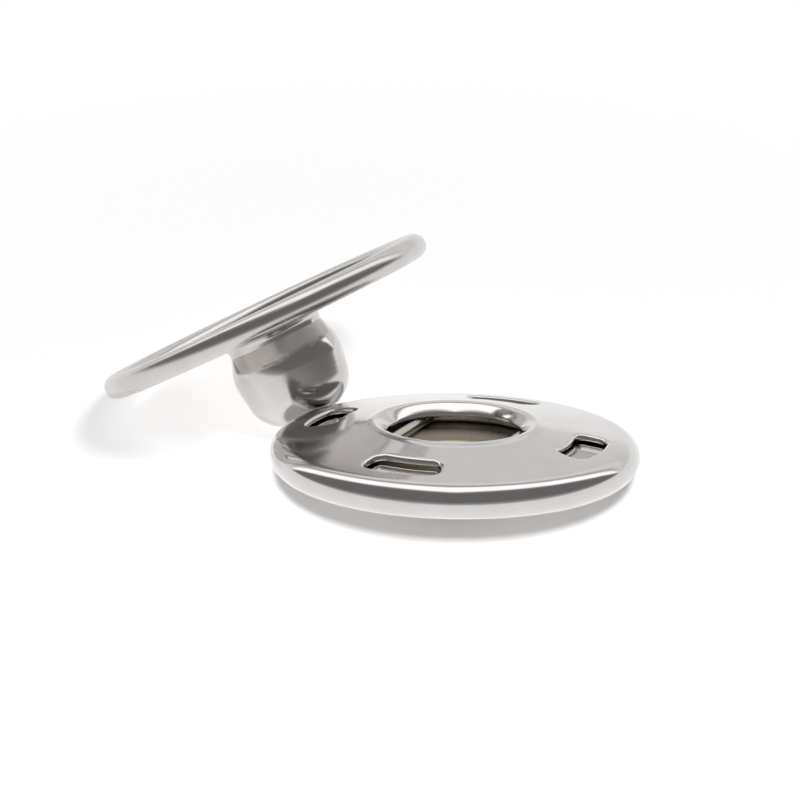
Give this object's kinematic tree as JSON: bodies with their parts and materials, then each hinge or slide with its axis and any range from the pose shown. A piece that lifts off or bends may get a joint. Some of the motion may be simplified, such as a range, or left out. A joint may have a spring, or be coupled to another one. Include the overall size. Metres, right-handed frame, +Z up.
{
  "type": "snap fastener",
  "caption": "Sew-on snap fastener in two round halves: a disc with a hollow domed stud and a disc with a sprung socket, each with a curled rim and sewing slots.",
  "frame": {"origin": "on the floor, under the middle of the box round both halves as they lie", "axes": "+Z up from the floor; +Y points away from the side of the picture, so the stud half lies to the left (-X) and behind (+Y) of the socket half"},
  "size_m": [0.0372, 0.0368, 0.0152],
  "materials": {
    "plated_sheet": "polished",
    "back_plate": "polished",
    "spring_steel": "brushed"
  },
  "bodies": {
    "root": {"socket_front": "plated_sheet", "socket_back": "back_plate", "spring_wire": "spring_steel", "stud_front": "plated_sheet", "stud_back": "back_plate"}
  },
  "joints": []
}
